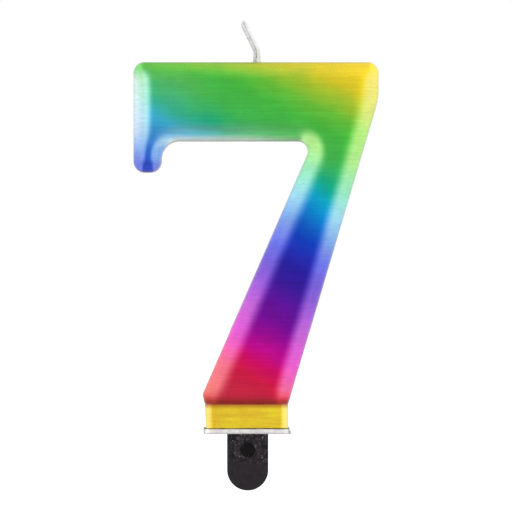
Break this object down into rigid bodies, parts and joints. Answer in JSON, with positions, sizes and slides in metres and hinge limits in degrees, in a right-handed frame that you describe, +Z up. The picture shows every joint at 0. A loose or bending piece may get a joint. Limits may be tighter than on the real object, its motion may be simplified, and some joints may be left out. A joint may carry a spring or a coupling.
{
  "type": "number birthday candle",
  "caption": "Moulded wax candle in the shape of the figure 7 on a small plinth, with a wick, a sliding foil drip tray and a flat plastic pick for a cake.",
  "frame": {"origin": "middle of the drip tray's underside, where it meets the cake", "axes": "+X to the right seen from the front, the front faces -Y, +Z up towards the wick"},
  "size_m": [0.0538, 0.012, 0.1033],
  "materials": {
    "rainbow_wax": "wax with a satin metallic rainbow coat, yellow at the top right through green, blue, violet and magenta to red at the foot",
    "gold_wax": "wax with a satin metallic gold coat",
    "wick_cotton": "white twisted cotton, waxed",
    "silver_foil": "bright foil, slightly creased",
    "black_plastic": "charcoal moulded plastic with pale scuffs"
  },
  "bodies": {
    "candle": {"numeral_seven": "rainbow_wax", "plinth": "gold_wax", "wick_in_wax": "wick_cotton", "pick": "black_plastic"},
    "drip_tray": {"drip_tray": "silver_foil"},
    "wick_tail": {"wick_tail": "wick_cotton"}
  },
  "joints": [
    {"name": "tray_slide", "type": "slide", "parent": "candle", "child": "drip_tray", "axis": [0, 0, -1], "range_m": [0, 0.014]},
    {"name": "wick_bend", "type": "hinge", "parent": "candle", "child": "wick_tail", "pos_m": [0.0023, 0, 0.08244], "axis": [0, 1, 0], "range_deg": [-55, 80]}
  ]
}
